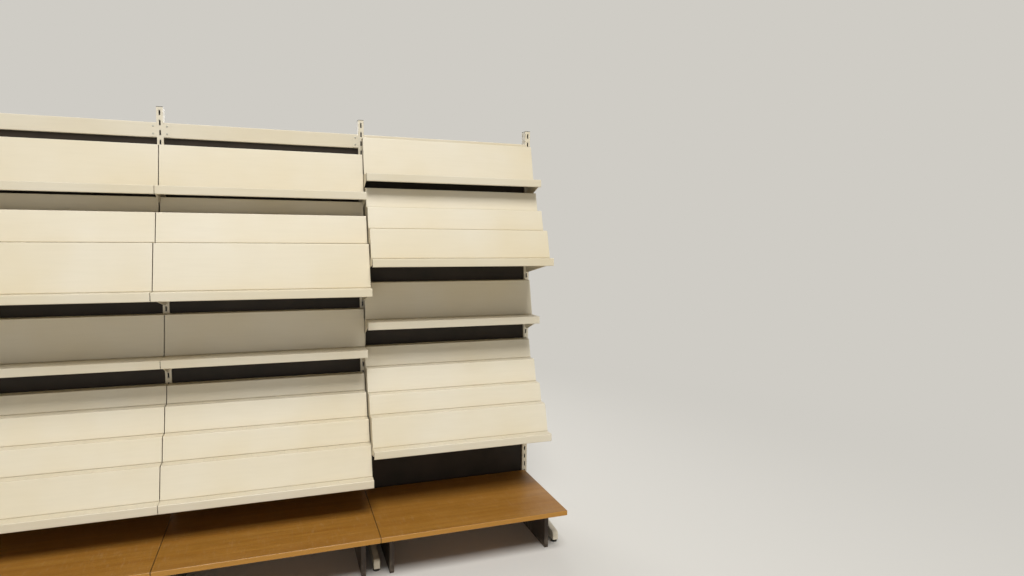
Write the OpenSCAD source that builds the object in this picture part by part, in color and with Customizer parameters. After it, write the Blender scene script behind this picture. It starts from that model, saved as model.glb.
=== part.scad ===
// Three bays of wall shelving for a small shop, with a low wooden bench along the foot.
// Slotted steel uprights carry hooked brackets, trays of folded sheet lie on the brackets,
// and stepped inserts and sloping upstands on the trays hold the goods up to view.
// Depths are counted forward from the front face of the uprights, heights up from the floor.

/* [Run] */
// Width of one bay, from upright centre to upright centre
bay_w = 1000; // [800:50:1250]
// Clear gap between the trays of two neighbouring bays
tray_gap = 3; // [2:0.5:5]
// Clear gap between the steps of two neighbouring bays
step_gap = 4; // [3:0.5:7]
// The same gap where the top steps of the eye inserts pass the brackets above
top_step_gap = 7; // [7:0.5:10]

/* [Uprights] */
// Width of the tube, seen from the front
up_w = 30; // [28:1:40]
// Depth of the tube, from front to back
up_d = 60; // [50:5:80]
// Wall of the tube
up_wall = 2; // [1.5:0.5:2]
// Height of the top of the uprights above the floor
up_top = 2370; // [2370:10:2400]
// Width of a slot
slot_w = 7; // [7:0.5:9]
// Height of a slot
slot_h = 25; // [24:0.5:26]

/* [Trays] */
// Thickness of the folded sheet
sheet_t = 2; // [1.2:0.1:2]
// Front of the deep trays
deep_d = 430; // [420:5:480]
// Front of the shallow trays
shallow_d = 230; // [210:5:260]
// Height of the front lip of a tray
lip_h = 42; // [38:1:46]

/* [Brackets] */
// Thickness of a bracket
bracket_t = 2.5; // [2:0.1:2.5]
// Height of a bracket at the upright
bracket_h = 95; // [92:1:100]

/* [Steps] */
// Depth of an ordinary ledge
ledge_d = 58; // [45:1:58]
// How far a riser leans back for each millimetre of its height
lean = 0.28; // [0.2:0.01:0.28]
// Deck left free in front of the first riser
deck_front = 58; // [40:1:60]

/* [Bench] */
// Height of the bench top above the floor
bench_h = 250; // [230:5:320]
// Front edge of the bench top
bench_d = 655; // [560:5:700]
// Thickness of the bench top
bench_t = 26; // [18:1:38]

/* [Hidden] */

steel = "#dedacb";
board = "#302b24";
wood = "#a9713a";
plastic = "#3a3936";

// The front face of the uprights, with the origin in the middle of the whole footprint
face_y = (bench_d - up_d) / 2;
function up_x(i) = (i - 1.5) * bay_w;

// Slots, one every 50 mm, and the deck heights that follow from them
slot_pitch = 50;
first_slot = 39;
slot_count = 47;
deck_above_slot = 19;
function slot_z(row) = first_slot + slot_pitch * row;
function deck_z(row) = slot_z(row) + deck_above_slot;

// The slot row that carries each tray: base, low, eye and top tray of a bay
tray_rows = [[8, 21, 28, 38], [8, 21, 28, 38], [11, 24, 31, 40]];
tray_depths = [deep_d, shallow_d, deep_d, shallow_d];

// Risers and ledges of the stepped inserts on the base and eye trays, from the front
base_risers = [[155, 118, 126, 91], [155, 118, 126, 91], [152, 102, 128, 109]];
base_ledges = [ledge_d, ledge_d, ledge_d];
eye_risers = [[225, 147, 80], [225, 147, 80], [155, 115, 107]];
eye_ledges = [[ledge_d, 100], [ledge_d, 100], [ledge_d, ledge_d]];

// Upstands at the back of the low and top trays of each bay
upstand_h = [[207, 214], [207, 214], [205, 208]];
upstand_foot = 107;
upstand_top = 60;

// Folded sheet, with each bend drawn as an arc of a few chords
bend_r = 1.5;
arc_steps = 3;
sheet_clear = 0.4;
tray_back = 5;
back_flange = 25;
lip_return = 14;
end_flange = 20;
flange_in = 4;
foot_flange = 16;
ledge_under = 2;
rib = [190, 207, 213, 237, 243, 260];
rib_h = 18;
rib_in = 28;
cheek_in = 3;
cheek_notch = foot_flange + 3;

// Rails and backing between two uprights
rail_h = 76;
rail_d = 24;
top_rail_z = 2214;
bottom_rail_z = 92;
rail_plate_w = 33;
rail_plate_h = 68;
rail_plate_d = 34;
back_board_t = 5;
back_board_in = 14;

// Brackets and their hooks; nose and heel are a bracket's front and its end at the upright
fit_gap = 0.6;
plate_in = 0.4;
nose_back = 22;
nose_rise = 12;
heel_w = 34;
plate_r = [0, 3, 60, 9, 3];
seat_w = 14;
seat_back = 14;
seat_front = 32;
bead_w = 10;
bead_r = 4.8;
bead_out = 1.2;
bead_back = 70;
bead_front = 92;
bead_drop = [43, 21];
hook_neck = 14;
hook_tail = 8.5;
hook_reach = 5.2;

// Feet
foot_len = 500;
foot_h = 90;
foot_toe_h = 48;
foot_z = 15;
foot_wall = 2.5;
foot_heel = 40;
foot_web = 12;
foot_r = [0, 3, 18, 60, 0];
toe_block = 50;
toe_pad_r = 18;
pad_h = 5;
stem_r = 5;
cap_t = 3;
cap_slope = [1.5, 1];
plug_h = 11;
plug_play = 0.3;

// Bench carcass
gable_t = 22;
gable_in = 60;
gable_back = 45;
gable_front = 535;
apron_in = 20;
apron_t = 18;
apron_h = 90;
bench_gap = 2;
bench_back = 6;
bench_r = [1.5, 2.5, 2.5, 1.5];

// Arc that rounds the corner b between a and c, at the distance off to the left of the line
function unit(v) = v / norm(v);
function left_of(v) = [-v[1], v[0]];
function turned(v, a) = [v[0] * cos(a) - v[1] * sin(a), v[0] * sin(a) + v[1] * cos(a)];
function turn_of(u, v) = atan2(u[0] * v[1] - u[1] * v[0], u * v);
function corner(a, b, c, r, off) =
    let (
        u = unit(b - a),
        t = turn_of(u, unit(c - b)),
        s = sign(t),
        n = left_of(u),
        m = b - u * (r * tan(abs(t) / 2)) + n * (s * r)
    )
    [for (k = [0 : arc_steps]) m + turned(-s * n, t * k / arc_steps) * (r - s * off)];

// Outline of a sheet folded along a path of [depth, height] points, rounded at each bend
function face(p, r, off) = concat(
    [p[0] + left_of(unit(p[1] - p[0])) * off],
    [for (i = [1 : len(p) - 2]) each corner(p[i - 1], p[i], p[i + 1], r, off)],
    [p[len(p) - 1] + left_of(unit(p[len(p) - 1] - p[len(p) - 2])) * off]
);
function reversed(p) = [for (i = [len(p) - 1 : -1 : 0]) p[i]];
function folded(p) = concat(
    face(p, bend_r + sheet_t / 2, sheet_t / 2),
    reversed(face(p, bend_r + sheet_t / 2, -sheet_t / 2))
);

// Closed outline with its own radius at each corner
function rounded(p, radii) = [for (i = [0 : len(p) - 1]) each
    radii[i] == 0 ? [p[i]] :
    corner(p[(i + len(p) - 1) % len(p)], p[i], p[(i + 1) % len(p)], radii[i], 0)];

// A profile of [depth, height] points, run along the shelving from x to x + length
module run(x, length, points) {
    translate([x, face_y, 0])
        rotate([90, 0, 90])
            linear_extrude(length)
                polygon([for (p = points) [-p[0], p[1]]]);
}

// A block between two depths and two heights
module block(x, length, d0, d1, z0, z1) {
    translate([x, face_y - d1, z0]) cube([length, d1 - d0, z1 - z0]);
}

// A block on the centre line of upright i
module middle_block(i, width, d0, d1, z0, z1) {
    block(up_x(i) - width / 2, width, d0, d1, z0, z1);
}

// A folded sheet across a bay, with half of a gap left free at each end
module sheet(bay, gap, path) {
    run(up_x(bay) + gap / 2, bay_w - gap, folded(path));
}

module upright(i) {
    color(steel) difference() {
        middle_block(i, up_w, -up_d, 0, foot_z, up_top - cap_t);
        middle_block(i, up_w - 2 * up_wall, up_wall - up_d, -up_wall, foot_z - 1, up_top);
        for (k = [0 : slot_count - 1])
            middle_block(i, slot_w, -up_wall - 1, 1,
                slot_z(k) - slot_h / 2, slot_z(k) + slot_h / 2);
    }
}

// Plugs that close the uprights, with chamfered edges and a spigot in the tube
module upright_caps() {
    play = up_wall + plug_play;
    color(plastic) for (i = [0 : 3]) {
        run(up_x(i) - up_w / 2, up_w, [
            [0, up_top - cap_t], [0, up_top - cap_slope[1]], [-cap_slope[0], up_top],
            [cap_slope[0] - up_d, up_top], [-up_d, up_top - cap_slope[1]],
            [-up_d, up_top - cap_t]
        ]);
        middle_block(i, up_w - 2 * play, play - up_d, -play,
            up_top - cap_t - plug_h, up_top - cap_t);
    }
}

// A channel between two uprights, open to the back, with an angle plate at each end
module rail(bay, z) {
    h = sheet_t / 2;
    left = up_x(bay) + up_w / 2;
    right = up_x(bay + 1) - up_w / 2;
    low = z + (rail_h - rail_plate_h) / 2;
    high = low + rail_plate_h;
    run(left + sheet_t, right - left - 2 * sheet_t, folded([
        [-rail_d - h, z + h], [-3 * h, z + h],
        [-3 * h, z + rail_h - h], [-rail_d - h, z + rail_h - h]
    ]));
    for (x = [left, right - rail_plate_w])
        block(x, rail_plate_w, -sheet_t / 2, 0, low, high);
    for (x = [left, right - sheet_t])
        block(x, sheet_t, -rail_plate_d, 0, low, high);
}

module top_rails() {
    color(steel) for (bay = [0 : 2]) rail(bay, top_rail_z);
}

module bottom_rails() {
    color(steel) for (bay = [0 : 2]) rail(bay, bottom_rail_z);
}

module back_board(bay) {
    color(board)
        block(up_x(bay) + up_w / 2, bay_w - up_w,
            -back_board_in - back_board_t, -back_board_in,
            bottom_rail_z + rail_h, top_rail_z);
}

// Hook that hangs in slot k with its tail behind the wall of the tube.
// The side view has depth to the left and height up.
module hook(k, tail) {
    low = slot_z(k) - slot_h / 2 + 0.2;
    behind = up_wall + sheet_clear;
    translate([-fit_gap - 1, low]) square([fit_gap + 1 + behind, hook_neck]);
    if (tail)
        translate([behind, low - hook_tail])
            square([hook_reach - behind, hook_neck + hook_tail]);
}

// Tapered channel at the foot of an upright, solid at its toe and hooked at its heel
module base_foot(i) {
    top = foot_z + foot_h;
    toe = foot_z + foot_toe_h;
    inner = foot_len - toe_block;
    slope = (foot_h - foot_toe_h) / (foot_len - foot_heel);
    difference() {
        run(up_x(i) - up_w / 2, up_w, rounded(
            [[fit_gap, foot_z], [foot_len, foot_z], [foot_len, toe], [foot_heel, top],
                [fit_gap, top]],
            foot_r
        ));
        run(up_x(i) - up_w / 2 + foot_wall, up_w - 2 * foot_wall, [
            [foot_web, foot_z - 1], [inner, foot_z - 1],
            [inner, toe + slope * toe_block - foot_wall], [foot_heel, top - foot_wall],
            [foot_web, top - foot_wall]
        ]);
    }
    translate([up_x(i) - bracket_t, face_y, 0])
        rotate([90, 0, 90]) linear_extrude(2 * bracket_t) {
            hook(0, false);
            hook(1, true);
        }
}

module base_feet() {
    color(steel) for (i = [0 : 3]) base_foot(i);
}

// Screw pads: one in the toe of each foot, one in a plug at the bottom of each tube
module levelling_feet() {
    play = up_wall + plug_play;
    color(plastic) for (i = [0 : 3]) {
        translate([up_x(i), face_y - foot_len + toe_block / 2, 0]) {
            cylinder(h = pad_h, r = toe_pad_r, $fn = 12);
            cylinder(h = foot_z, r = stem_r, $fn = 12);
        }
        translate([up_x(i), face_y + up_d / 2, 0]) {
            cylinder(h = pad_h, r = up_w / 2 - 1, $fn = 12);
            cylinder(h = foot_z - 1, r = stem_r, $fn = 12);
        }
        middle_block(i, up_w, -up_d, 0, foot_z - cap_t, foot_z);
        middle_block(i, up_w - 2 * play, play - up_d, -play, foot_z, foot_z + plug_h - 1);
    }
}

// Tapered side plate of a bracket with its two hooks, for a tray on slot row k
module bracket_plate(depth, z, k) {
    nose = depth - nose_back;
    polygon(rounded(
        [[-fit_gap, z], [-fit_gap, z - bracket_h], [-heel_w, z - bracket_h],
            [-nose, z - lip_h + nose_rise], [-nose, z]],
        plate_r
    ));
    hook(k, true);
    hook(k - 1, true);
}

// Pressed bead that stiffens the plate of a deep bracket
module bracket_bead(depth, z) {
    back = z - bead_drop[0];
    front = z - bead_drop[1];
    polygon(rounded(
        [[-bead_back, back], [-bead_back, back - bead_w],
            [bead_front - depth, front - bead_w], [bead_front - depth, front]],
        [bead_r, bead_r, bead_r, bead_r]
    ));
}

// A bracket beside the centre of upright i, on its left (-1) or right (1)
module bracket(i, side, depth, row) {
    z = deck_z(row) - sheet_t;
    translate([up_x(i), face_y, 0]) mirror([side < 0 ? 1 : 0, 0, 0]) {
        translate([plate_in, 0, 0]) rotate([90, 0, 90]) {
            linear_extrude(bracket_t) bracket_plate(depth, z, row);
            if (depth == deep_d) linear_extrude(bracket_t + bead_out) bracket_bead(depth, z);
        }
        translate([plate_in, seat_front - depth, z - bracket_t])
            cube([seat_w, depth - seat_front - seat_back, bracket_t]);
    }
}

module brackets(bay) {
    color(steel) for (k = [0 : 3]) {
        bracket(bay, 1, tray_depths[k], tray_rows[bay][k]);
        bracket(bay + 1, -1, tray_depths[k], tray_rows[bay][k]);
    }
}

// A tray: deck and front lip in one fold, flanges along the back and the ends,
// and on a deep tray a stiffening rib below the deck
module tray(bay, k) {
    h = sheet_t / 2;
    z = deck_z(tray_rows[bay][k]);
    low = z - sheet_t;
    front = tray_depths[k];
    left = up_x(bay) + tray_gap / 2;
    width = bay_w - tray_gap;
    end_in = seat_w + 1;
    color(steel) {
        sheet(bay, tray_gap, [
            [tray_back, z - h], [front - h, z - h],
            [front - h, z - lip_h + h], [front - lip_return, z - lip_h + h]
        ]);
        block(left + flange_in, width - 2 * flange_in, tray_back, tray_back + sheet_t,
            z - back_flange, low);
        for (x = [left + end_in, left + width - end_in - sheet_t])
            block(x, sheet_t, tray_back + 2 * flange_in, front - lip_return - flange_in,
                low - end_flange, low);
        if (front == deep_d)
            run(left + rib_in, width - 2 * rib_in, folded([
                [rib[0], low - h], [rib[1], low - h], [rib[2], low - rib_h + h],
                [rib[3], low - rib_h + h], [rib[4], low - h], [rib[5], low - h]
            ]));
    }
}

// Sloping upstand on a shallow tray, folded back to the uprights at its top
module upstand(bay, k, height) {
    h = sheet_t / 2;
    z = deck_z(tray_rows[bay][k]);
    sheet(bay, step_gap, [
        [upstand_foot - foot_flange, z + h], [upstand_foot, z + h],
        [upstand_top, z + height - h], [sheet_clear, z + height - h]
    ]);
}

module upstands(bay) {
    color(steel) {
        upstand(bay, 1, upstand_h[bay][0]);
        upstand(bay, 3, upstand_h[bay][1]);
    }
}

// Foot depth, head depth and height of step n of an insert
function foot_depth(risers, ledges, n) =
    n == 0 ? deep_d - deck_front : head_depth(risers, ledges, n - 1) - ledges[n - 1];
function head_depth(risers, ledges, n) =
    foot_depth(risers, ledges, n) - lean * risers[n];
function step_z(risers, n) = n == 0 ? 0 : step_z(risers, n - 1) + risers[n - 1];

// Each step is one folded sheet: a flange at its foot, the sloping riser and the ledge
module steps(bay, k, risers, ledges) {
    h = sheet_t / 2;
    z = deck_z(tray_rows[bay][k]);
    last = len(risers) - 1;
    color(steel) for (n = [0 : last]) {
        low = z + step_z(risers, n) + (n > 0 ? sheet_clear : 0);
        high = z + step_z(risers, n + 1);
        foot = foot_depth(risers, ledges, n);
        head = head_depth(risers, ledges, n);
        back = n == last ? tray_back : head - ledges[n] - foot_flange - ledge_under;
        gap = n == last && k == 2 ? top_step_gap : step_gap;
        sheet(bay, gap, [
            [foot - foot_flange, low + h], [foot, low + h],
            [head, high - h], [back, high - h]
        ]);
    }
}

// Cheek at each end of an insert. It carries the ledges, follows each riser just behind it,
// and is notched for the flange at the riser's foot and the ledge that the flange lies on.
module step_ends(bay, k, risers, ledges) {
    z = deck_z(tray_rows[bay][k]);
    last = len(risers) - 1;
    stair = [for (n = [last : -1 : 0])
        let (
            head = head_depth(risers, ledges, n),
            foot = foot_depth(risers, ledges, n),
            base = z + step_z(risers, n),
            flange_top = base + (n > 0 ? sheet_clear : 0) + sheet_t + sheet_clear
        )
        each [
            [head - cheek_in, z + step_z(risers, n + 1) - sheet_t],
            [foot - cheek_in, flange_top],
            [foot - cheek_notch, flange_top],
            [foot - cheek_notch, base - (n > 0 ? sheet_t : 0)]
        ]];
    back = tray_back + flange_in;
    outline = concat([[back, z], [back, z + step_z(risers, last + 1) - sheet_t]], stair);
    inside = top_step_gap / 2 + 1;
    for (x = [up_x(bay) + inside, up_x(bay + 1) - inside - sheet_t])
        run(x, sheet_t, outline);
}

module bay_step_ends(bay) {
    color(steel) {
        step_ends(bay, 0, base_risers[bay], base_ledges);
        step_ends(bay, 2, eye_risers[bay], eye_ledges[bay]);
    }
}

module bench_top(bay) {
    color(wood)
        run(up_x(bay) + bench_gap / 2, bay_w - bench_gap, rounded(
            [[bench_back, bench_h - bench_t], [bench_d, bench_h - bench_t],
                [bench_d, bench_h], [bench_back, bench_h]],
            bench_r
        ));
}

module bench_gables() {
    color(board) for (bay = [0 : 2])
        for (x = [up_x(bay) + gable_in, up_x(bay + 1) - gable_in - gable_t])
            block(x, gable_t, gable_back, gable_front, 0, bench_h - bench_t);
}

module bench_rails() {
    color(board) for (bay = [0 : 2])
        block(up_x(bay) + gable_in + gable_t, bay_w - 2 * (gable_in + gable_t),
            gable_back + apron_in, gable_back + apron_in + apron_t,
            bench_h - bench_t - apron_h, bench_h - bench_t);
}

upright(0);  // upright_1
upright(1);  // upright_2
upright(2);  // upright_3
upright(3);  // upright_4
upright_caps();
top_rails();
bottom_rails();
base_feet();
levelling_feet();
back_board(0);  // back_board_1
back_board(1);  // back_board_2
back_board(2);  // back_board_3
brackets(0);  // bay_1_brackets
brackets(1);  // bay_2_brackets
brackets(2);  // bay_3_brackets
tray(0, 0);  // bay_1_base_tray
tray(0, 1);  // bay_1_low_tray
tray(0, 2);  // bay_1_eye_tray
tray(0, 3);  // bay_1_top_tray
tray(1, 0);  // bay_2_base_tray
tray(1, 1);  // bay_2_low_tray
tray(1, 2);  // bay_2_eye_tray
tray(1, 3);  // bay_2_top_tray
tray(2, 0);  // bay_3_base_tray
tray(2, 1);  // bay_3_low_tray
tray(2, 2);  // bay_3_eye_tray
tray(2, 3);  // bay_3_top_tray
upstands(0);  // bay_1_upstands
upstands(1);  // bay_2_upstands
upstands(2);  // bay_3_upstands
steps(0, 0, base_risers[0], base_ledges);  // bay_1_base_steps
steps(1, 0, base_risers[1], base_ledges);  // bay_2_base_steps
steps(2, 0, base_risers[2], base_ledges);  // bay_3_base_steps
steps(0, 2, eye_risers[0], eye_ledges[0]);  // bay_1_eye_steps
steps(1, 2, eye_risers[1], eye_ledges[1]);  // bay_2_eye_steps
steps(2, 2, eye_risers[2], eye_ledges[2]);  // bay_3_eye_steps
bay_step_ends(0);  // bay_1_step_ends
bay_step_ends(1);  // bay_2_step_ends
bay_step_ends(2);  // bay_3_step_ends
bench_top(0);  // bench_top_1
bench_top(1);  // bench_top_2
bench_top(2);  // bench_top_3
bench_gables();
bench_rails();
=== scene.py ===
# %% [markdown]
# # Wall shelving for a small shop, with a low bench along its foot
# Slotted steel uprights carry hooked brackets, and trays of folded sheet lie on the brackets.
# Stepped inserts and sloping upstands on the trays raise and tilt what is on show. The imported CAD
# model gives each shape its size and place in metres, so this lesson only adds what CAD leaves
# out: the finishes, the small fixings, the light and the camera.

import math

import bmesh
import bpy
from mathutils import Matrix, Vector


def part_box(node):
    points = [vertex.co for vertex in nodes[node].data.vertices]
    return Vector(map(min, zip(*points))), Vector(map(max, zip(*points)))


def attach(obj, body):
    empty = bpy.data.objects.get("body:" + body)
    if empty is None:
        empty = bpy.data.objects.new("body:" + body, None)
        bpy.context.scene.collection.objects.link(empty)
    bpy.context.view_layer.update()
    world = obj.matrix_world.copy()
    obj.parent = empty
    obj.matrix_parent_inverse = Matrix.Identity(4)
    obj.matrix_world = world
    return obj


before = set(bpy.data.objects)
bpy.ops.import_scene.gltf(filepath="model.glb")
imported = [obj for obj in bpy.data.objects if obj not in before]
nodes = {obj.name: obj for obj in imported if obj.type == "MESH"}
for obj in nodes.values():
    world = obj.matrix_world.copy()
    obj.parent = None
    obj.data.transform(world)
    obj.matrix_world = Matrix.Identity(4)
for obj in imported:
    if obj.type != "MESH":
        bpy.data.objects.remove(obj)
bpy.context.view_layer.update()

# %% [markdown]
# ## The driving measures
# The fixings are placed by the same few measures as in the CAD source: the bay width, the front
# face of the uprights and the heights of rails and feet. The frame itself tells most of them, so
# they are read from the boxes of the nodes, and only what no box shows is written as a number.

# %% Measures of the shelving
MM = 0.001
BAY = 1000 * MM
UPRIGHT_W = 30 * MM
UPRIGHT_X = [(i - 1.5) * BAY for i in range(4)]
BAYS = range(3)

upright_low, upright_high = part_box("upright_1")
FACE_Y = upright_low.y
BACK_Y = upright_high.y
top_rail_low, top_rail_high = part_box("top_rails")
bottom_rail_low, bottom_rail_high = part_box("bottom_rails")
bench_low, bench_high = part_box("bench_top_1")
print("uprights' front face at y =", round(FACE_Y, 4), "bench top at z =", round(bench_high.z, 4))

# %% [markdown]
# ## The camera of the photograph
# The picture was taken from about eye height, close in front of the second and third bay, with a
# wide lens turned a little to the right and down. These numbers come from fitting a pinhole camera
# to the edges of trays, rails and bench. A matrix made of the camera's right, up and back
# directions is exact, where a Track To constraint would lose the small roll of the hand.

# %% Camera
LENS_MM = 22.66
SENSOR_MM = 36.0
CAMERA_PLACE = Vector((0.058, FACE_Y - 3.735, 1.725))
TURNED_RIGHT = math.radians(19.85)
TILTED_DOWN = math.radians(4.52)
ROLLED = math.radians(0.48)

ahead = Vector((
    math.sin(TURNED_RIGHT) * math.cos(TILTED_DOWN),
    math.cos(TURNED_RIGHT) * math.cos(TILTED_DOWN),
    -math.sin(TILTED_DOWN),
))
level_right = Vector((math.cos(TURNED_RIGHT), -math.sin(TURNED_RIGHT), 0.0))
level_up = level_right.cross(ahead)
camera_right = level_right * math.cos(ROLLED) + level_up * math.sin(ROLLED)
camera_up = level_up * math.cos(ROLLED) - level_right * math.sin(ROLLED)

camera = bpy.data.objects.new("camera", bpy.data.cameras.new("camera"))
camera.data.lens = LENS_MM
camera.data.sensor_width = SENSOR_MM
camera.data.clip_end = 60.0
turn = Matrix((camera_right, camera_up, -ahead)).transposed().to_4x4()
camera.matrix_world = Matrix.Translation(CAMERA_PLACE) @ turn
bpy.context.scene.collection.objects.link(camera)
bpy.context.scene.camera = camera
print("camera at", tuple(round(v, 3) for v in CAMERA_PLACE), "looks along", tuple(ahead))

# %% [markdown]
# ## Colours and nodes
# Finishes are written as the hex colours that a paint chart gives. The renderer counts in linear
# light, so one function converts them. A second small function adds one shader node with its
# settings, values and links, and so every material below reads as a list of steps.

# %% Helpers for colours and nodes
def linear(hex_colour):
    """The linear RGBA of an sRGB hex colour such as '#d8d0bb'."""
    shares = [int(hex_colour[i:i + 2], 16) / 255 for i in (1, 3, 5)]
    return [s / 12.92 if s <= 0.04045 else ((s + 0.055) / 1.055) ** 2.4 for s in shares] + [1.0]


def add(tree, kind, values=None, links=None, **settings):
    """Adds a shader node with settings, socket values and links, and returns it."""
    node = tree.nodes.new("ShaderNode" + kind)
    for name, value in settings.items():
        setattr(node, name, value)
    for socket, value in (values or {}).items():
        node.inputs[socket].default_value = value
    for socket, source in (links or {}).items():
        tree.links.new(source, node.inputs[socket])
    return node


def new_finish(name):
    """A bare material: its node tree, its shader and the Object coordinates."""
    finish = bpy.data.materials.new(name)
    finish.use_nodes = True
    tree = finish.node_tree
    shader = tree.nodes["Principled BSDF"]
    place = add(tree, "TexCoord").outputs["Object"]
    return finish, tree, shader, place


print("cream of the steel in linear light:", [round(v, 3) for v in linear("#dcd3be")])

# %% [markdown]
# ## Masks and layers
# A mask is a number from 0 to 1 that tells how strongly something shows at a point. Several
# finishes need the same ones: soft patches, faces that turn one way, sharp edges, and the overlap
# of some of them. A layer lays another colour over a finish where a mask lets it. Object
# coordinates are metres, so patches get their size in millimetres and keep it on every piece.

# %% Helpers for masks and layers
# A Mix node holds its sockets once for every type of data, so those for colours go by number
FACTOR, FIRST, SECOND, MIXED = 0, 6, 7, 2


def patches(tree, place, size_mm, low, high, stretch=(1, 1, 1), detail=3.0):
    """Soft patches of about size_mm: 0 where the noise is below low, 1 above high."""
    scale = [1.0 / (size_mm * MM * s) for s in stretch]
    spread = add(tree, "Mapping", {"Scale": scale}, {"Vector": place})
    noise = add(tree, "TexNoise", {"Scale": 1.0, "Detail": detail},
                {"Vector": spread.outputs["Vector"]})
    return add(tree, "MapRange", {"From Min": low, "From Max": high},
               {"Value": noise.outputs[0]}).outputs[0]


def facing(tree, axis, low, high):
    """0 to 1 as faces turn towards an axis, between two values of the normal along it."""
    surface = add(tree, "NewGeometry")
    normal = add(tree, "SeparateXYZ", links={0: surface.outputs["True Normal"]})
    return add(tree, "MapRange", {"From Min": low, "From Max": high},
               {"Value": normal.outputs[axis]}).outputs[0]


def sharp_edges(tree, radius_mm, sharpest):
    """0 to 1 near sharp edges, where a rounded normal turns away from the true one."""
    surface = add(tree, "NewGeometry")
    rounded = add(tree, "Bevel", {"Radius": radius_mm * MM}, samples=4)
    sameness = add(tree, "VectorMath",
                   links={0: rounded.outputs[0], 1: surface.outputs["True Normal"]},
                   operation="DOT_PRODUCT")
    return add(tree, "MapRange", {"From Min": 0.99, "From Max": sharpest},
               {"Value": sameness.outputs["Value"]}).outputs[0]


def overlap(tree, *masks):
    """The product of masks, which is high only where all of them are."""
    shared = masks[0]
    for mask in masks[1:]:
        shared = add(tree, "Math", links={0: shared, 1: mask}, operation="MULTIPLY").outputs[0]
    return shared


def layer(tree, under, hex_colour, mask, share):
    """Lays a colour over what is under it, by a share of it where the mask is 1."""
    cover = add(tree, "Math", {1: share}, {0: mask}, operation="MULTIPLY")
    mixed = add(tree, "Mix", {SECOND: linear(hex_colour)},
                {FACTOR: cover.outputs[0], FIRST: under}, data_type="RGBA")
    return mixed.outputs[MIXED]


print("masks:", [mask.__name__ for mask in (patches, facing, sharp_edges, overlap)])

# %% [markdown]
# ## Masks of the slotted uprights
# Hooks that were hung in and lifted out have rubbed the coat above and below the slots. Sprayed
# powder doesn't reach into a tube, so the uprights are bare dark steel inside, and their slots
# show as dark marks. Both places follow from the bay width and the pitch of the slots: ping-pong
# folds a length to and fro, so it gives the distance to the nearest upright or slot at once.

# %% Where the slots and the insides of the tubes are
SLOT_PITCH = 50 * MM
FIRST_SLOT = 39 * MM
HALF_WALL = 1 * MM
RUBBED_UP_FROM, RUBBED_UP_TO = 13 * MM, 20 * MM
RUBBED_ASIDE_FROM, RUBBED_ASIDE_TO = 4 * MM, 7.5 * MM


def beside_upright(tree, spot):
    """How far a point lies sideways from the middle of the nearest upright."""
    along = add(tree, "Math", {1: 1.5 * BAY}, {0: spot.outputs["X"]}, operation="ADD")
    return add(tree, "Math", {1: BAY / 2}, {0: along.outputs[0]}, operation="PINGPONG").outputs[0]


def inside_tube(tree, place):
    """1 on the inner faces of the upright tubes, which lie past the middle of their wall."""
    spot = add(tree, "SeparateXYZ", links={0: place})
    between = add(tree, "Math", {1: UPRIGHT_W / 2 - HALF_WALL}, {0: beside_upright(tree, spot)},
                  operation="LESS_THAN").outputs[0]
    behind = add(tree, "Math", {1: FACE_Y + HALF_WALL}, {0: spot.outputs["Y"]},
                 operation="GREATER_THAN").outputs[0]
    ahead = add(tree, "Math", {1: BACK_Y - HALF_WALL}, {0: spot.outputs["Y"]},
                operation="LESS_THAN").outputs[0]
    return overlap(tree, between, behind, ahead)


def rubbed_slots(tree, place):
    """Marks above and below each slot, where hooks have been hung in and lifted out."""
    spot = add(tree, "SeparateXYZ", links={0: place})
    up = add(tree, "Math", {1: FIRST_SLOT}, {0: spot.outputs["Z"]}, operation="SUBTRACT")
    from_slot = add(tree, "Math", {1: SLOT_PITCH / 2}, {0: up.outputs[0]}, operation="PINGPONG")
    near = add(tree, "MapRange", {"From Min": RUBBED_UP_TO, "From Max": RUBBED_UP_FROM},
               {"Value": from_slot.outputs[0]})
    middle = add(tree, "MapRange", {"From Min": RUBBED_ASIDE_TO, "From Max": RUBBED_ASIDE_FROM},
                 {"Value": beside_upright(tree, spot)})
    return overlap(tree, near.outputs[0], middle.outputs[0], facing(tree, "Y", -0.8, -0.95),
                   patches(tree, place, 12, 0.42, 0.6, detail=5.0))


print("slots every", round(SLOT_PITCH / MM), "mm, rubbed up to", round(RUBBED_UP_TO / MM), "mm off")
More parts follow.
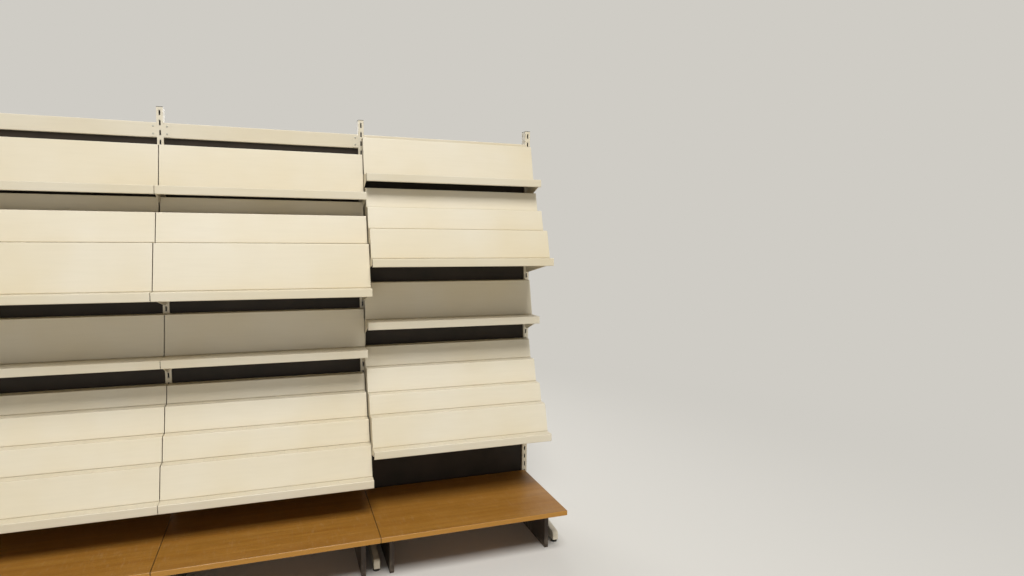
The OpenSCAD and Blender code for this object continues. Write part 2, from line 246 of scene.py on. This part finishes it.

# %% [markdown]
# ## Cream powder coat
# Shop shelving is folded from sheet steel, then sprayed with polyester powder and baked. The eye
# sees a satin skin with a faint orange peel, soft reflections that bend a little because thin
# sheet is never quite flat, and a cream white that has yellowed unevenly over the years. Dust
# settles on what lies flat, and paint is chipped at sharp edges. Corners are darkened a little by
# grime and by painted shade, where ambient occlusion finds them. Peel and chips are finer than a
# pixel at the camera's distance, so they are drawn at about twice their real size.

# %% The coat, with marks around the slots where it covers an upright
def cream_coat(name, has_slots):
    finish, tree, shader, place = new_finish(name)
    level = facing(tree, "Z", 0.7, 0.95)

    # Colour: fresh and yellowed coat, then the faint streaks that a cloth leaves along the run
    yellowed = patches(tree, place, 600, 0.35, 0.7)
    colour = add(tree, "Mix", {FIRST: linear("#dcd3be"), SECOND: linear("#d8cbad")},
                 {FACTOR: yellowed}, data_type="RGBA").outputs[MIXED]
    streaks = patches(tree, place, 12, 0.4, 0.8, stretch=(14, 1, 1))
    colour = layer(tree, colour, "#b9ae93", streaks, 0.08)

    # Dust on what lies flat, and the trails of things that were pulled forward over it
    dust = overlap(tree, level, patches(tree, place, 70, 0.25, 0.8, detail=8.0))
    colour = layer(tree, colour, "#a89f8d", dust, 0.14)
    trails = overlap(tree, level, patches(tree, place, 5, 0.58, 0.7, stretch=(1, 16, 1)))
    colour = layer(tree, colour, "#8d8574", trails, 0.14)

    # Grime and painted shade in the corners, darker where ambient occlusion finds a corner
    corner = add(tree, "AmbientOcclusion", {"Distance": 22 * MM}, samples=6)
    corner_shade = add(tree, "MapRange", {"From Min": 0.75, "From Max": 0.25},
                  {"Value": corner.outputs["AO"]}).outputs[0]
    grime_and_corner_shade = overlap(tree, corner_shade, patches(tree, place, 35, 0.2, 0.7, detail=6.0))
    colour = layer(tree, colour, "#7d7158", grime_and_corner_shade, 0.06)

    # Chips at sharp edges, and marks at the slots
    edge = sharp_edges(tree, 1.6, 0.88)
    chips = overlap(tree, edge, patches(tree, place, 9, 0.56, 0.62, detail=5.0))
    if has_slots:
        rubs = rubbed_slots(tree, place)
        chips = add(tree, "Math", links={0: chips, 1: rubs}, operation="MAXIMUM").outputs[0]
    colour = layer(tree, colour, "#85817a", chips, 0.7)
    if has_slots:
        colour = layer(tree, colour, "#3d3935", inside_tube(tree, place), 1.0)
    tree.links.new(colour, shader.inputs["Base Color"])

    # Satin sheen, duller under dust
    sheen = patches(tree, place, 90, 0.3, 0.7, detail=5.0)
    satin = add(tree, "MapRange", {"To Min": 0.36, "To Max": 0.46}, {"Value": sheen})
    dulled = add(tree, "Math", {1: 0.25}, {0: dust, 2: satin.outputs[0]},
                 operation="MULTIPLY_ADD")
    tree.links.new(dulled.outputs[0], shader.inputs["Roughness"])

    # Sheet that is not quite flat, under the orange peel of the powder
    wavy = add(tree, "Bump", {"Strength": 0.8, "Distance": 1.5 * MM},
               {"Height": patches(tree, place, 240, 0.1, 0.9, detail=1.0)})
    peel = add(tree, "Bump", {"Strength": 0.25, "Distance": 0.12 * MM},
               {"Height": patches(tree, place, 2.4, 0.3, 0.7, detail=1.0),
                "Normal": wavy.outputs[0]})
    tree.links.new(peel.outputs[0], shader.inputs["Normal"])
    return finish


cream_on_sheet = cream_coat("cream_polyester_powder_coat_on_folded_sheet", False)
cream_on_tube = cream_coat("cream_polyester_powder_coat_on_slotted_tube", True)
print("made", cream_on_sheet.name, "and", cream_on_tube.name)

# %% [markdown]
# ## Brown hardboard backing
# The boards behind the trays are thin hardboard, raw behind. The near-black brown of their front is
# painted shade: it darkens the gaps between the trays as deep shade does. Fibres that were pressed
# against a steel mesh keep its weave on the raw side. Two crossed
# sine waves draw that weave, at 4 mm instead of the real 1.5 mm so that it shows. It is put in the
# colour as well as in the bump, because dust and shade lie in the dents.

# %% Hardboard, dark in front as painted shade, and meshed behind
MESH_PITCH = 4 * MM


def hardboard():
    finish, tree, shader, place = new_finish("hardboard_with_dark_front_painted_shade")
    raw = facing(tree, "Y", 0.3, 0.6)

    # The near-black brown of the front is painted shade, for the deep shade in the gaps behind the
    # trays
    cloudy = patches(tree, place, 160, 0.3, 0.7, detail=4.0)
    dark_front_painted_shade = add(tree, "Mix", {FIRST: linear("#2b261f"), SECOND: linear("#372f27")},
                  {FACTOR: cloudy}, data_type="RGBA")
    fibres = patches(tree, place, 5, 0.35, 0.7, stretch=(1.8, 1, 1), detail=5.0)
    pulp = add(tree, "Mix", {FIRST: linear("#72583d"), SECOND: linear("#84694b")},
               {FACTOR: fibres}, data_type="RGBA")

    wires = add(tree, "VectorMath", {1: [2 * math.pi / MESH_PITCH] * 3}, {0: place},
                operation="MULTIPLY")
    split = add(tree, "SeparateXYZ", links={0: wires.outputs[0]})
    across = add(tree, "Math", links={0: split.outputs["X"]}, operation="SINE")
    upward = add(tree, "Math", links={0: split.outputs["Z"]}, operation="SINE")
    crossed = add(tree, "Math", links={0: across.outputs[0], 1: upward.outputs[0]},
                  operation="MULTIPLY")
    weave = add(tree, "MapRange", {"From Min": -0.6, "From Max": 0.6},
                {"Value": crossed.outputs[0]}).outputs[0]
    dented = layer(tree, pulp.outputs[MIXED], "#4c3925", weave, 0.4)
    board = add(tree, "Mix", links={FACTOR: raw, FIRST: dark_front_painted_shade.outputs[MIXED], SECOND: dented},
                data_type="RGBA")
    stains = patches(tree, place, 300, 0.45, 0.75, detail=6.0)
    colour = layer(tree, board.outputs[MIXED], "#2a221b", stains, 0.14)
    tree.links.new(colour, shader.inputs["Base Color"])

    matt = add(tree, "MapRange", {"To Min": 0.5, "To Max": 0.85}, {"Value": raw})
    tree.links.new(matt.outputs[0], shader.inputs["Roughness"])
    shader.inputs["Specular IOR Level"].default_value = 0.15

    woven = add(tree, "Bump", {"Strength": 0.8, "Distance": -0.4 * MM},
                {"Height": overlap(tree, weave, raw)})
    rough = add(tree, "Bump", {"Strength": 0.3, "Distance": 0.2 * MM},
                {"Height": fibres, "Normal": woven.outputs[0]})
    tree.links.new(rough.outputs[0], shader.inputs["Normal"])
    return finish


backing = hardboard()
print("made", backing.name)

# %% [markdown]
# ## Beech-look laminate
# The bench tops are chipboard faced with a printed, warm brown wood decor under clear melamine.
# The print runs along the bench: broad light and dark bands, fine grain lines, and the short dark
# flecks that beech is known by. The front edge and the ends of the run wear a glued plastic band
# in a slightly lighter tone. Dirt fills the joints between the tops, and years of use leave dull,
# pale scuffs.

# %% Laminate
BAND_T = 2.0 * MM
GLUE_W = 0.8 * MM
DIRT_REACH = 2.5 * MM


def in_from_edge(tree, spot, aside):
    """How far a point lies in from the front edge, or from the nearer end of the run."""
    from_front = add(tree, "Math", {1: bench_low.y}, {0: spot.outputs["Y"]},
                     operation="SUBTRACT")
    from_end = add(tree, "Math", {0: -bench_low.x}, {1: aside}, operation="SUBTRACT")
    return add(tree, "Math", links={0: from_front.outputs[0], 1: from_end.outputs[0]},
               operation="MINIMUM").outputs[0]


def laminate():
    finish, tree, shader, place = new_finish("beech_look_melamine_laminate")
    level = facing(tree, "Z", 0.6, 0.9)

    bands = patches(tree, place, 30, 0.3, 0.7, stretch=(26, 1, 1), detail=3.0)
    colour = add(tree, "Mix", {FIRST: linear("#956422"), SECOND: linear("#a5752f")},
                 {FACTOR: bands}, data_type="RGBA").outputs[MIXED]
    grain = patches(tree, place, 3.5, 0.42, 0.66, stretch=(45, 1, 1))
    colour = layer(tree, colour, "#81551e", grain, 0.45)
    flecks = patches(tree, place, 2.2, 0.62, 0.68, stretch=(5, 1, 1))
    colour = layer(tree, colour, "#694118", flecks, 0.5)

    # The edge band along the front and at both ends, and the dark glue line behind it
    spot = add(tree, "SeparateXYZ", links={0: place})
    aside = add(tree, "Math", links={0: spot.outputs["X"]}, operation="ABSOLUTE").outputs[0]
    from_edge = in_from_edge(tree, spot, aside)
    on_band = add(tree, "Math", {1: BAND_T}, {0: from_edge}, operation="LESS_THAN").outputs[0]
    colour = layer(tree, colour, "#b8822c", on_band, 0.6)
    glue = add(tree, "Math", {1: BAND_T, 2: GLUE_W / 2}, {0: from_edge},
               operation="COMPARE").outputs[0]
    colour = layer(tree, colour, "#4e3217", glue, 0.7)

    # Dirt that gathers in the joint between two tops
    filled = add(tree, "Math", {1: BAY / 2, 2: DIRT_REACH}, {0: aside},
                 operation="COMPARE").outputs[0]
    colour = layer(tree, colour, "#3a2917", filled, 0.6)

    # Scuffs where things slide, and chips at the edges
    slid = patches(tree, place, 8, 0.56, 0.72, stretch=(1, 9, 1), detail=5.0)
    scuffs = overlap(tree, level, slid)
    colour = layer(tree, colour, "#c9ab82", scuffs, 0.14)
    edge = sharp_edges(tree, 2.0, 0.86)
    chips = overlap(tree, edge, patches(tree, place, 14, 0.56, 0.64, detail=5.0))
    colour = layer(tree, colour, "#d0b48a", chips, 0.6)
    tree.links.new(colour, shader.inputs["Base Color"])

    worn = patches(tree, place, 130, 0.3, 0.7, detail=6.0)
    satin = add(tree, "MapRange", {"To Min": 0.34, "To Max": 0.5}, {"Value": worn})
    dulled = add(tree, "Math", {1: 0.07}, {0: scuffs, 2: satin.outputs[0]},
                 operation="MULTIPLY_ADD")
    tree.links.new(dulled.outputs[0], shader.inputs["Roughness"])
    pores = add(tree, "Bump", {"Strength": 0.25, "Distance": -0.045 * MM}, {"Height": grain})
    tree.links.new(pores.outputs[0], shader.inputs["Normal"])
    return finish


bench_laminate = laminate()
print("made", bench_laminate.name)

# %% [markdown]
# ## Dark brown melamine board
# The gables and the rail that carry the bench are plain chipboard with a dark brown melamine
# skin. They stand in the shade, so a little grain, scuffs near the floor and pale chips along the
# edges are all that tells the material.

# %% Melamine board
KICKED_TO = 90 * MM


def melamine():
    finish, tree, shader, place = new_finish("dark_brown_melamine_chipboard")
    grain = patches(tree, place, 4, 0.35, 0.7, stretch=(1, 1, 20))
    colour = add(tree, "Mix", {FIRST: linear("#3a3027"), SECOND: linear("#473b30")},
                 {FACTOR: grain}, data_type="RGBA").outputs[MIXED]
    spot = add(tree, "SeparateXYZ", links={0: place})
    low_down = add(tree, "MapRange", {"From Min": KICKED_TO, "From Max": 0.0},
                   {"Value": spot.outputs["Z"]}).outputs[0]
    kicked = overlap(tree, low_down, patches(tree, place, 25, 0.45, 0.65, detail=6.0))
    colour = layer(tree, colour, "#8b8071", kicked, 0.5)
    edge = sharp_edges(tree, 1.5, 0.86)
    chips = overlap(tree, edge, patches(tree, place, 12, 0.52, 0.6, detail=5.0))
    colour = layer(tree, colour, "#a08c6f", chips, 0.7)
    tree.links.new(colour, shader.inputs["Base Color"])
    satin = add(tree, "MapRange", {"To Min": 0.45, "To Max": 0.62}, {"Value": grain})
    tree.links.new(satin.outputs[0], shader.inputs["Roughness"])
    shader.inputs["Specular IOR Level"].default_value = 0.3
    pores = add(tree, "Bump", {"Strength": 0.3, "Distance": -0.15 * MM}, {"Height": grain})
    tree.links.new(pores.outputs[0], shader.inputs["Normal"])
    return finish


dark_melamine = melamine()
print("made", dark_melamine.name)

# %% [markdown]
# ## Moulded black polymer
# Caps, plugs and foot pads are injection-moulded polypropylene. The mould is spark-eroded, which
# gives a fine even grain of about 0.3 mm, drawn here at 1 mm, and dust makes it look dark grey.

# %% Polymer
def moulded_polymer():
    finish, tree, shader, place = new_finish("moulded_black_polypropylene")
    level = facing(tree, "Z", 0.5, 0.9)
    blotches = patches(tree, place, 18, 0.3, 0.7, detail=5.0)
    colour = add(tree, "Mix", {FIRST: linear("#2c2b29"), SECOND: linear("#3b3936")},
                 {FACTOR: blotches}, data_type="RGBA").outputs[MIXED]
    dust = overlap(tree, level, patches(tree, place, 10, 0.25, 0.75, detail=6.0))
    colour = layer(tree, colour, "#857d70", dust, 0.5)
    tree.links.new(colour, shader.inputs["Base Color"])
    matt = add(tree, "MapRange", {"To Min": 0.48, "To Max": 0.64}, {"Value": blotches})
    tree.links.new(matt.outputs[0], shader.inputs["Roughness"])
    grained = add(tree, "Bump", {"Strength": 0.3, "Distance": 0.08 * MM},
                  {"Height": patches(tree, place, 1.0, 0.3, 0.7, detail=1.0)})
    tree.links.new(grained.outputs[0], shader.inputs["Normal"])
    return finish


polymer = moulded_polymer()
print("made", polymer.name)

# %% [markdown]
# ## Zinc-plated steel
# Screws, clips and lock nuts are electroplated with zinc and passivated. New zinc is bluish and
# bright. After years of use it is dull grey with a yellowish cast and a white bloom here and there.

# %% Zinc plate
def zinc_plate():
    finish, tree, shader, place = new_finish("dull_zinc_plated_steel")
    bloom = patches(tree, place, 4, 0.35, 0.7, detail=6.0)
    colour = add(tree, "Mix", {FIRST: linear("#a9a9a2"), SECOND: linear("#c2bfae")},
                 {FACTOR: bloom}, data_type="RGBA")
    tree.links.new(colour.outputs[MIXED], shader.inputs["Base Color"])
    shader.inputs["Metallic"].default_value = 1.0
    dull = add(tree, "MapRange", {"To Min": 0.32, "To Max": 0.52}, {"Value": bloom})
    tree.links.new(dull.outputs[0], shader.inputs["Roughness"])
    pitted = add(tree, "Bump", {"Strength": 0.2, "Distance": 0.05 * MM},
                 {"Height": patches(tree, place, 0.8, 0.3, 0.7, detail=2.0)})
    tree.links.new(pitted.outputs[0], shader.inputs["Normal"])
    return finish


zinc = zinc_plate()
print("made", zinc.name)

# %% [markdown]
# ## Dressing the CAD pieces
# The shapes of the CAD nodes are right as they are, so each only gets its finish in its material
# slot. The names of the nodes say what they are, and one short table turns a name into a finish.

# %% Give every node its finish
FINISHES = (
    ("upright_caps", polymer),
    ("levelling_feet", polymer),
    ("upright_", cream_on_tube),
    ("back_board", backing),
    ("bench_top", bench_laminate),
    ("bench_", dark_melamine),
    ("", cream_on_sheet),
)
for name, piece in nodes.items():
    finish = next(f for start, f in FINISHES if name.startswith(start))
    piece.data.materials.clear()
    piece.data.materials.append(finish)
print("dressed", len(nodes), "nodes")

# %% [markdown]
# ## Small fixings
# Each fixing is shaped once in a bmesh and copied to its places, then the copies are joined in one
# mesh, because a shop fitter also counts them as a bag of like parts. The operators do the
# shaping: a cone for a turned head, inset and a pushed-in face for a socket, bevel for a rim.

# %% Helper that puts copies of a fixing in their places
def place_copies(name, shape, spots, finish):
    """Joins a copy of the bmesh for each (position, direction of its +Z) into one riding piece."""
    parts = bmesh.new()
    base = bpy.data.meshes.new(name + "_one")
    shape.to_mesh(base)
    shape.free()
    for position, outward in spots:
        before = len(parts.verts)
        parts.from_mesh(base)
        parts.verts.ensure_lookup_table()
        turn = Vector((0, 0, 1)).rotation_difference(Vector(outward)).to_matrix().to_4x4()
        bmesh.ops.transform(parts, matrix=Matrix.Translation(position) @ turn,
                            verts=parts.verts[before:])
    bmesh.ops.recalc_face_normals(parts, faces=parts.faces)
    mesh = bpy.data.meshes.new(name)
    parts.to_mesh(mesh)
    parts.free()
    bpy.data.meshes.remove(base)
    piece = bpy.data.objects.new(name, mesh)
    bpy.context.scene.collection.objects.link(piece)
    mesh.materials.append(finish)
    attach(piece, "root")
    print(name, len(spots), "copies,", len(mesh.polygons), "faces")


# %% [markdown]
# ### Screws of the rail plates
# An angle plate at each end of a rail is held by two button-head screws with a hexagon socket.
# The socket starts as the top face of a twelve-sided head, inset. Drawing every second corner of
# it inwards to the flat of a hexagon makes a true hexagon of the twelve points.

# %% Button-head screws
HEAD_R = 4.8 * MM
HEAD_H = 2.2 * MM
RIM_ROUND = 0.7 * MM
SOCKET_R = 2.2 * MM
SOCKET_DEPTH = 1.5 * MM
SOCKET_DRAFT = 0.05 * MM
PLATE_W = 33 * MM
SCREW_FROM_MIDDLE = 19 * MM


def button_head():
    head = bmesh.new()
    bmesh.ops.create_cone(head, cap_ends=True, segments=12,
                          radius1=HEAD_R, radius2=0.8 * HEAD_R, depth=HEAD_H)
    bmesh.ops.translate(head, verts=head.verts, vec=(0, 0, HEAD_H / 2))
    top = max(head.faces, key=lambda f: f.calc_center_median().z)
    rim = [e for e in top.edges]
    bmesh.ops.bevel(head, geom=rim, offset=RIM_ROUND, segments=2, profile=0.5,
                    affect="EDGES", material=-1)
    top = max(head.faces, key=lambda f: (f.calc_center_median().z, f.calc_area()))
    reach = max(v.co.xy.length for v in top.verts)
    bmesh.ops.inset_region(head, faces=[top], thickness=reach - SOCKET_R)
    top = max(head.faces, key=lambda f: (round(f.calc_center_median().z, 6), len(f.verts),
                                         -f.calc_area()))
    corners = sorted(top.verts, key=lambda v: math.atan2(v.co.y, v.co.x))
    for v in corners[::2]:
        v.co.xy *= math.cos(math.radians(30))
    bmesh.ops.inset_region(head, faces=[top], thickness=SOCKET_DRAFT, depth=-SOCKET_DEPTH)
    return head


screw_spots = []
for rail_low, rail_high in ((top_rail_low, top_rail_high), (bottom_rail_low, bottom_rail_high)):
    middle = (rail_low.z + rail_high.z) / 2
    for bay in BAYS:
        for x in (UPRIGHT_X[bay] + (UPRIGHT_W + PLATE_W) / 2,
                  UPRIGHT_X[bay + 1] - (UPRIGHT_W + PLATE_W) / 2):
            for z in (middle - SCREW_FROM_MIDDLE, middle + SCREW_FROM_MIDDLE):
                screw_spots.append((Vector((x, FACE_Y, z)), (0, -1, 0)))
place_copies("rail_screws", button_head(), screw_spots, zinc)

# %% [markdown]
# ### Clips that hold the backing
# Bent steel clips, screwed to the side walls of the uprights, press each backing board forward
# into its place. A clip is an L drawn as one face and extruded to its width, with the bend rounded
# by a bevel. Local Z points away from the upright, so a quarter turn either way serves both sides.

# %% Board clips
CLIP_T = 1.5 * MM
CLIP_W = 24 * MM
CLIP_LEGS = (17 * MM, 16 * MM)
CLIP_BEND = 1.2 * MM
CLIP_HEIGHTS = (340 * MM, 880 * MM, 1420 * MM, 1960 * MM)
PAN_R = 3.6 * MM
PAN_H = 1.8 * MM
PAN_ALONG_LEG = 10 * MM
PAN_SUNK = 0.05 * MM
BOARD_REAR_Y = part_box("back_board_1")[1].y


def board_clip():
    clip = bmesh.new()
    leg, arm = CLIP_LEGS
    outline = ((0, 0), (leg, 0), (leg, CLIP_T), (CLIP_T, CLIP_T), (CLIP_T, arm), (0, arm))
    corners = [clip.verts.new((-CLIP_W / 2, y, z)) for y, z in outline]
    side = clip.faces.new(corners)
    grown = bmesh.ops.extrude_face_region(clip, geom=[side], use_keep_orig=True)
    new_verts = [v for v in grown["geom"] if isinstance(v, bmesh.types.BMVert)]
    bmesh.ops.translate(clip, verts=new_verts, vec=(CLIP_W, 0, 0))
    bend = [e for e in clip.edges if all(v.co.yz.length < 1e-6 for v in e.verts)]
    bmesh.ops.bevel(clip, geom=bend, offset=CLIP_BEND, segments=3, profile=0.5,
                    affect="EDGES", material=-1)
    pan = bmesh.ops.create_cone(clip, cap_ends=True, segments=12, radius1=PAN_R,
                                radius2=0.75 * PAN_R, depth=PAN_H)
    bmesh.ops.translate(clip, verts=pan["verts"],
                        vec=(0, PAN_ALONG_LEG, CLIP_T + PAN_H / 2 - PAN_SUNK))
    return clip


clip_spots = []
for bay in BAYS:
    for x, outward in ((UPRIGHT_X[bay] + UPRIGHT_W / 2, (1, 0, 0)),
                       (UPRIGHT_X[bay + 1] - UPRIGHT_W / 2, (-1, 0, 0))):
        for z in CLIP_HEIGHTS:
            clip_spots.append((Vector((x, BOARD_REAR_Y, z)), outward))
place_copies("board_clips", board_clip(), clip_spots, zinc)

# %% [markdown]
# ### Lock nuts of the levelling feet
# A lock nut on each threaded stem keeps a foot at its height. A six-sided cone is the nut, and a
# bevel on the edges of its top and bottom gives the chamfer that a real nut is turned with.

# %% Lock nuts
NUT_R = 9.8 * MM
NUT_H = 5.5 * MM
NUT_CHAMFER = 0.9 * MM
PAD_TOP = 5 * MM
NUT_ABOVE_PAD = 0.6 * MM
STEM_IN_FRONT = 475 * MM
TOE_Y = FACE_Y - STEM_IN_FRONT
TUBE_Y = (FACE_Y + BACK_Y) / 2


def lock_nut():
    nut = bmesh.new()
    bmesh.ops.create_cone(nut, cap_ends=True, segments=6, radius1=NUT_R, radius2=NUT_R,
                          depth=NUT_H)
    flats = [f for f in nut.faces if abs(f.normal.z) > 0.9]
    rims = list({e for f in flats for e in f.edges})
    bmesh.ops.bevel(nut, geom=rims, offset=NUT_CHAMFER, segments=1, profile=0.5,
                    affect="EDGES", material=-1)
    return nut


nut_z = PAD_TOP + NUT_ABOVE_PAD + NUT_H / 2
nut_spots = []
for x in UPRIGHT_X:
    for y in (TOE_Y, TUBE_Y):
        nut_spots.append((Vector((x, y, nut_z)), (0, 0, 1)))
place_copies("lock_nuts", lock_nut(), nut_spots, zinc)

# %% [markdown]
# ### Cover caps on the bench gables
# Two connectors hold the rail between the gables, and a flat plastic cap covers each from
# outside. A cap is a low cone whose rim is beveled and whose face is dished by a shallow inset.

# %% Cover caps
CAP_R = 9 * MM
CAP_H = 1.4 * MM
CAP_TAPER = 0.4 * MM
CAP_RIM = 1.6 * MM
DISH_SLOPE_W = 0.6 * MM
DISH_DEPTH = 0.5 * MM
CAP_FROM_EDGE = 22 * MM
gables_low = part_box("bench_gables")[0]
bench_rail_low, bench_rail_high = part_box("bench_rails")


def cover_cap():
    cap = bmesh.new()
    bmesh.ops.create_cone(cap, cap_ends=True, segments=24, radius1=CAP_R,
                          radius2=CAP_R - CAP_TAPER, depth=CAP_H)
    bmesh.ops.translate(cap, verts=cap.verts, vec=(0, 0, CAP_H / 2))
    top = max(cap.faces, key=lambda f: f.calc_center_median().z)
    bmesh.ops.inset_region(cap, faces=[top], thickness=CAP_RIM, depth=0.0)
    bmesh.ops.inset_region(cap, faces=[top], thickness=DISH_SLOPE_W, depth=-DISH_DEPTH)
    return cap


cap_y = (bench_rail_low.y + bench_rail_high.y) / 2
inner_face = UPRIGHT_X[0] - gables_low.x
cap_spots = []
for bay in BAYS:
    for x, outward in ((UPRIGHT_X[bay] - inner_face, (-1, 0, 0)),
                       (UPRIGHT_X[bay + 1] + inner_face, (1, 0, 0))):
        for z in (bench_rail_low.z + CAP_FROM_EDGE, bench_rail_high.z - CAP_FROM_EDGE):
            cap_spots.append((Vector((x, cap_y, z)), outward))
place_copies("gable_cover_caps", cover_cap(), cap_spots, polymer)

# %% [markdown]
# ## Floor, lamps and background
# A plain pale floor takes the shadow. Its colour passes into the backdrop's some metres away, so
# no horizon cuts through the picture. One wide lamp, high in front, gives soft, steep light. It
# stands nearly 60 degrees above the trays: in the photograph the low tray shades the uppermost
# riser below it, and only a light that steep can do that. A weaker lamp at head height brightens
# the shade and the upright lips. The weakest one, behind, shows the back in views from there.
# Lamps and world together light a surface so that its colour renders about as it is written. The
# camera sees a plain pale grey behind the object, a little darker than the cream steel.

# %% Floor
BACKDROP = linear("#cfccc5")
FLOOR_HALF = 30.0
FLOOR_FADES_FROM, FLOOR_FADES_TO = 1.8, 6.0
floor_mesh = bmesh.new()
bmesh.ops.create_grid(floor_mesh, x_segments=1, y_segments=1, size=FLOOR_HALF)
mesh = bpy.data.meshes.new("floor")
floor_mesh.to_mesh(mesh)
floor_mesh.free()
floor = bpy.data.objects.new("floor", mesh)
bpy.context.scene.collection.objects.link(floor)

floor_finish, floor_tree, floor_shader, floor_place = new_finish("pale_floor")
floor_shader.inputs["Base Color"].default_value = linear("#dad7d0")
floor_shader.inputs["Roughness"].default_value = 0.9
away = add(floor_tree, "VectorMath", links={0: floor_place}, operation="LENGTH")
far = add(floor_tree, "MapRange",
          {"From Min": FLOOR_FADES_FROM, "From Max": FLOOR_FADES_TO},
          {"Value": away.outputs["Value"]}, interpolation_type="SMOOTHSTEP")
haze = add(floor_tree, "Emission", {"Color": BACKDROP, "Strength": 1.0})
path = add(floor_tree, "LightPath")
seen_far = overlap(floor_tree, far.outputs[0], path.outputs["Is Camera Ray"])
floor_look = add(floor_tree, "MixShader",
                 links={0: seen_far, 1: floor_shader.outputs[0], 2: haze.outputs[0]})
floor_out = floor_tree.nodes["Material Output"]
floor_tree.links.new(floor_look.outputs[0], floor_out.inputs["Surface"])
mesh.materials.append(floor_finish)
print("floor is", floor.dimensions.x, "m wide")


# %% Lamps
def lamp(name, place, target, size, watts):
    light = bpy.data.lights.new(name, "AREA")
    light.shape = "SQUARE"
    light.size = size
    light.energy = watts
    holder = bpy.data.objects.new(name, light)
    holder.location = place
    aim = Vector(target) - Vector(place)
    holder.rotation_euler = aim.to_track_quat("-Z", "Y").to_euler()
    bpy.context.scene.collection.objects.link(holder)
    print(name, watts, "watts")


FRONT_MIDDLE = (0.0, 0.1, 1.0)
BACK_MIDDLE = (0.0, 0.3, 1.0)
lamp("ceiling_lamp", place=(0.2, -10.8, 17.6), target=FRONT_MIDDLE, size=8.0, watts=3650.0)
lamp("room_fill", place=(-0.9, -8.4, 1.6), target=FRONT_MIDDLE, size=3.0, watts=70.0)
lamp("back_fill", place=(0.8, 5.6, 4.6), target=BACK_MIDDLE, size=4.0, watts=170.0)

# %% World
SOFT_LIGHT = 0.13
world = bpy.data.worlds.new("studio")
bpy.context.scene.world = world
world.use_nodes = True
sky = world.node_tree
sky.nodes.clear()
path = add(sky, "LightPath")
seen = add(sky, "Math",
           links={0: path.outputs["Is Camera Ray"], 1: path.outputs["Is Glossy Ray"]},
           operation="MAXIMUM")
seen = add(sky, "Math", links={0: seen.outputs[0], 1: path.outputs["Is Transmission Ray"]},
           operation="MAXIMUM")
soft_light = add(sky, "Background", {"Color": linear("#f2efe8"), "Strength": SOFT_LIGHT})
backdrop = add(sky, "Background", {"Color": BACKDROP, "Strength": 1.0})
mixed = add(sky, "MixShader",
            links={0: seen.outputs[0], 1: soft_light.outputs[0], 2: backdrop.outputs[0]})
add(sky, "OutputWorld", links={"Surface": mixed.outputs[0]})
bpy.context.scene.view_settings.view_transform = "Standard"
print("world with", len(sky.nodes), "nodes")
